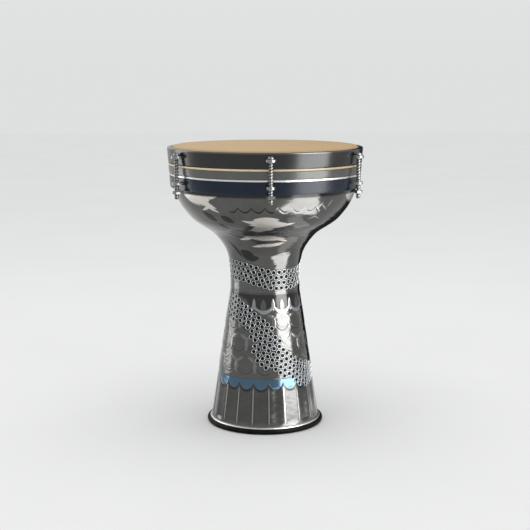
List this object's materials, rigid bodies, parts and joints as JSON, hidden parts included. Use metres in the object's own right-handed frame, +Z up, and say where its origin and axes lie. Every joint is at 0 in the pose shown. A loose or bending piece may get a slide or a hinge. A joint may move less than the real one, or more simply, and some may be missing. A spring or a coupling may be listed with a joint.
{
  "type": "darbuka",
  "caption": "Goblet drum with an engraved metal shell, a flat head under a tension hoop, and tension screws that run down through ears on a lower ring.",
  "frame": {"origin": "middle of the foot ring's underside, on the drum's axis", "axes": "+Z up the drum's axis to the head; -Y is the front, where the first tension screw stands; +X is to the viewer's right"},
  "size_m": [0.28, 0.3044, 0.405],
  "materials": {
    "engraved_metal": "polished, engraved and punched",
    "bright_metal": "bright plated",
    "collar_metal": "dark polished",
    "charcoal_paint": "satin charcoal, top edge worn bright",
    "navy_paint": "gloss navy",
    "cream_trim": "cream",
    "silver_trim": "bright",
    "head_film": "tan, like skin",
    "flesh_aluminium": "plain",
    "foot_rubber": "black"
  },
  "bodies": {
    "shell": {"bowl": "engraved_metal", "stem": "engraved_metal", "foot_ring": "foot_rubber", "lower_ring": "navy_paint", "silver_trim_ring": "silver_trim", "collar": "collar_metal", "cream_trim_ring": "cream_trim", "drumhead": "head_film", "flesh_hoop": "flesh_aluminium", "lower_ear_1": "bright_metal", "lower_ear_2": "bright_metal", "lower_ear_3": "bright_metal", "lower_ear_4": "bright_metal", "lower_ear_5": "bright_metal", "lower_ear_6": "bright_metal"},
    "hoop": {"tension_hoop": "charcoal_paint", "hoop_ear_1": "bright_metal", "hoop_ear_2": "bright_metal", "hoop_ear_3": "bright_metal", "hoop_ear_4": "bright_metal", "hoop_ear_5": "bright_metal", "hoop_ear_6": "bright_metal"},
    "screw_1": {"tension_screw_1": "bright_metal", "stop_nut_1": "bright_metal"},
    "screw_2": {"tension_screw_2": "bright_metal", "stop_nut_2": "bright_metal"},
    "screw_3": {"tension_screw_3": "bright_metal", "stop_nut_3": "bright_metal"},
    "screw_4": {"tension_screw_4": "bright_metal", "stop_nut_4": "bright_metal"},
    "screw_5": {"tension_screw_5": "bright_metal", "stop_nut_5": "bright_metal"},
    "screw_6": {"tension_screw_6": "bright_metal", "stop_nut_6": "bright_metal"}
  },
  "joints": [
    {"name": "hoop_travel", "type": "slide", "parent": "shell", "child": "hoop", "axis": [0, 0, 1], "range_m": [0, 0.008]},
    {"name": "screw_1_turn", "type": "hinge", "parent": "hoop", "child": "screw_1", "pos_m": [0, -0.145, 0.3952], "axis": [0, 0, 1], "range_deg": [0, 720.01]},
    {"name": "screw_2_turn", "type": "hinge", "parent": "hoop", "child": "screw_2", "pos_m": [0.12557, -0.0725, 0.3952], "axis": [0, 0, 1], "range_deg": [0, 720.01]},
    {"name": "screw_3_turn", "type": "hinge", "parent": "hoop", "child": "screw_3", "pos_m": [0.12557, 0.0725, 0.3952], "axis": [0, 0, 1], "range_deg": [0, 720.01]},
    {"name": "screw_4_turn", "type": "hinge", "parent": "hoop", "child": "screw_4", "pos_m": [0, 0.145, 0.3952], "axis": [0, 0, 1], "range_deg": [0, 720.01]},
    {"name": "screw_5_turn", "type": "hinge", "parent": "hoop", "child": "screw_5", "pos_m": [-0.12557, 0.0725, 0.3952], "axis": [0, 0, 1], "range_deg": [0, 720.01]},
    {"name": "screw_6_turn", "type": "hinge", "parent": "hoop", "child": "screw_6", "pos_m": [-0.12557, -0.0725, 0.3952], "axis": [0, 0, 1], "range_deg": [0, 720.01]}
  ],
  "couplings": [
    {"joint": "screw_1_turn", "follows": "hoop_travel", "rad_per_m": 1570.8},
    {"joint": "screw_2_turn", "follows": "hoop_travel", "rad_per_m": 1570.8},
    {"joint": "screw_3_turn", "follows": "hoop_travel", "rad_per_m": 1570.8},
    {"joint": "screw_4_turn", "follows": "hoop_travel", "rad_per_m": 1570.8},
    {"joint": "screw_5_turn", "follows": "hoop_travel", "rad_per_m": 1570.8},
    {"joint": "screw_6_turn", "follows": "hoop_travel", "rad_per_m": 1570.8}
  ]
}
